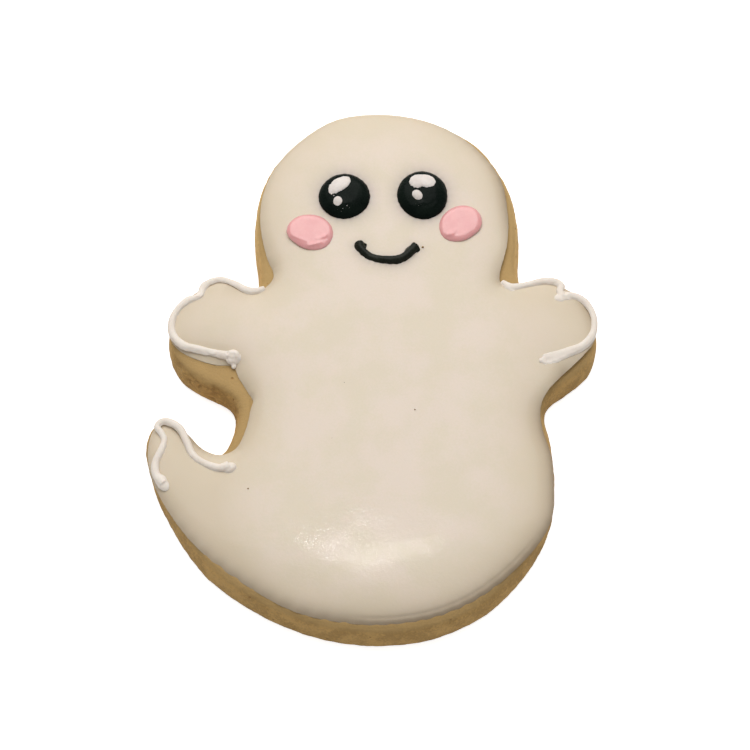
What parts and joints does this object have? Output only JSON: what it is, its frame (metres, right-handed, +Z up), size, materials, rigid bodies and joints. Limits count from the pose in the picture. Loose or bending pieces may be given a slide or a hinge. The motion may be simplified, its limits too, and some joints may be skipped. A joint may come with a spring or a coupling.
{
  "type": "iced sugar cookie",
  "caption": "Flat sugar cookie cut as a ghost with a waving tail, flooded with ivory icing, with piped arms, eyes, cheeks and smile.",
  "frame": {"origin": "under the middle of the cookie's outline, on the surface that it lies on", "axes": "+Z up out of the iced side, +Y from the hem to the top of the head, +X to the right as seen from above with the feet towards the viewer, so the tail points to -X"},
  "size_m": [0.0772, 0.0993, 0.0111],
  "materials": {
    "cookie": "matte baked crumb",
    "icing": "satin set icing, ivory",
    "piping": "satin set icing, off-white",
    "black_icing": "glossy black set icing",
    "glint": "satin set icing, off-white",
    "pink_icing": "soft gloss set icing, pink"
  },
  "bodies": {
    "root": {"cookie": "cookie", "icing": "icing", "piping_left_arm": "piping", "piping_right_arm": "piping", "piping_tail": "piping", "eye_left": "black_icing", "eye_right": "black_icing", "mouth": "black_icing", "glint_left_large": "glint", "glint_left_small": "glint", "glint_right_large": "glint", "glint_right_small": "glint", "cheek_left": "pink_icing", "cheek_right": "pink_icing"}
  },
  "joints": []
}
